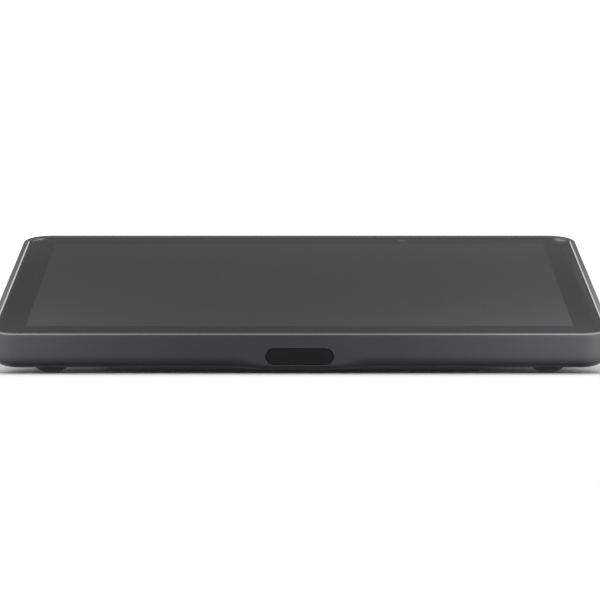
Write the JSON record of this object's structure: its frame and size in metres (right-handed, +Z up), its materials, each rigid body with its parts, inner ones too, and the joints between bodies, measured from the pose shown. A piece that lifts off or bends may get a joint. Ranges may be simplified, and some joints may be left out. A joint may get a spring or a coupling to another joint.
{
  "type": "smart display",
  "caption": "Low wedge tabletop touch display: tilted slab with flush glass, raised thin rim, front sensor window, rounded feet and a cable base with a hinged cover.",
  "frame": {"origin": "centre of the bounding box in plan, at the level of the table under the feet", "axes": "+X to the right along the long side, +Y towards the raised back edge, +Z up; the sensor window faces -Y"},
  "size_m": [0.246, 0.1618, 0.0551],
  "materials": {
    "housing_plastic": "satin graphite moulded plastic",
    "shell_metal": "satin graphite anodised shell with a bright cut inner edge",
    "screen_glass": "dark printed cover glass, screen off",
    "window_plastic": "dark infrared-passing plastic",
    "rubber": "soft black rubber",
    "steel": "plated steel",
    "frame_aluminium": "stamped sheet",
    "board_green": "printed circuit board",
    "ribbon_amber": "polyimide ribbon",
    "panel_clear": "dark laminated panel",
    "white_plastic": "white moulded plastic",
    "black_plastic": "black moulded plastic",
    "pad_grey": "silicone heat pad"
  },
  "bodies": {
    "body": {"backlight_unit": "white_plastic", "base_housing": "housing_plastic", "base_screw_1": "steel", "base_screw_2": "steel", "base_screw_3": "steel", "base_screw_4": "steel", "board_ribbon": "ribbon_amber", "board_screw_1": "steel", "board_screw_2": "steel", "board_screw_3": "steel", "board_screw_4": "steel", "body_shell": "shell_metal", "bracket_screw_1": "steel", "bracket_screw_2": "steel", "cover_glass": "screen_glass", "frame_screw_1": "steel", "frame_screw_2": "steel", "frame_screw_3": "steel", "frame_screw_4": "steel", "front_foot_left": "rubber", "front_foot_right": "rubber", "glass_gasket": "rubber", "video_socket": "steel", "heat_pad": "pad_grey", "hinge_pin_left": "steel", "hinge_pin_right": "steel", "io_board": "board_green", "lcd_cell": "panel_clear", "lcd_ribbon": "ribbon_amber", "light_sensor": "panel_clear", "main_board": "board_green", "motion_sensor": "white_plastic", "panel_frame": "frame_aluminium", "port_bracket": "steel", "power_socket": "steel", "processor": "black_plastic", "rear_pad_left": "rubber", "rear_pad_right": "rubber", "reset_switch": "black_plastic", "sensor_board": "board_green", "sensor_ribbon": "ribbon_amber", "sensor_window": "window_plastic", "shield_can": "steel", "speaker_left": "black_plastic", "speaker_right": "black_plastic", "touch_panel": "panel_clear", "data_socket": "steel"},
    "cover": {"cable_cover": "housing_plastic"},
    "thumbscrew": {"cover_screw": "steel"},
    "reset": {"reset_button": "black_plastic"}
  },
  "joints": [
    {"name": "cable_cover_hinge", "type": "hinge", "parent": "body", "child": "cover", "pos_m": [0, -0.00006, 0.0031], "axis": [-1, 0, 0], "range_deg": [0, 90]},
    {"name": "cover_screw_turn", "type": "hinge", "parent": "cover", "child": "thumbscrew", "pos_m": [0, 0.05464, 0.0028], "axis": [0, 0, 1], "range_deg": [0, 720]},
    {"name": "reset_button_press", "type": "slide", "parent": "body", "child": "reset", "axis": [0, -1, 0], "range_m": [0, 0.0005], "stiffness_N_per_m": 400}
  ]
}
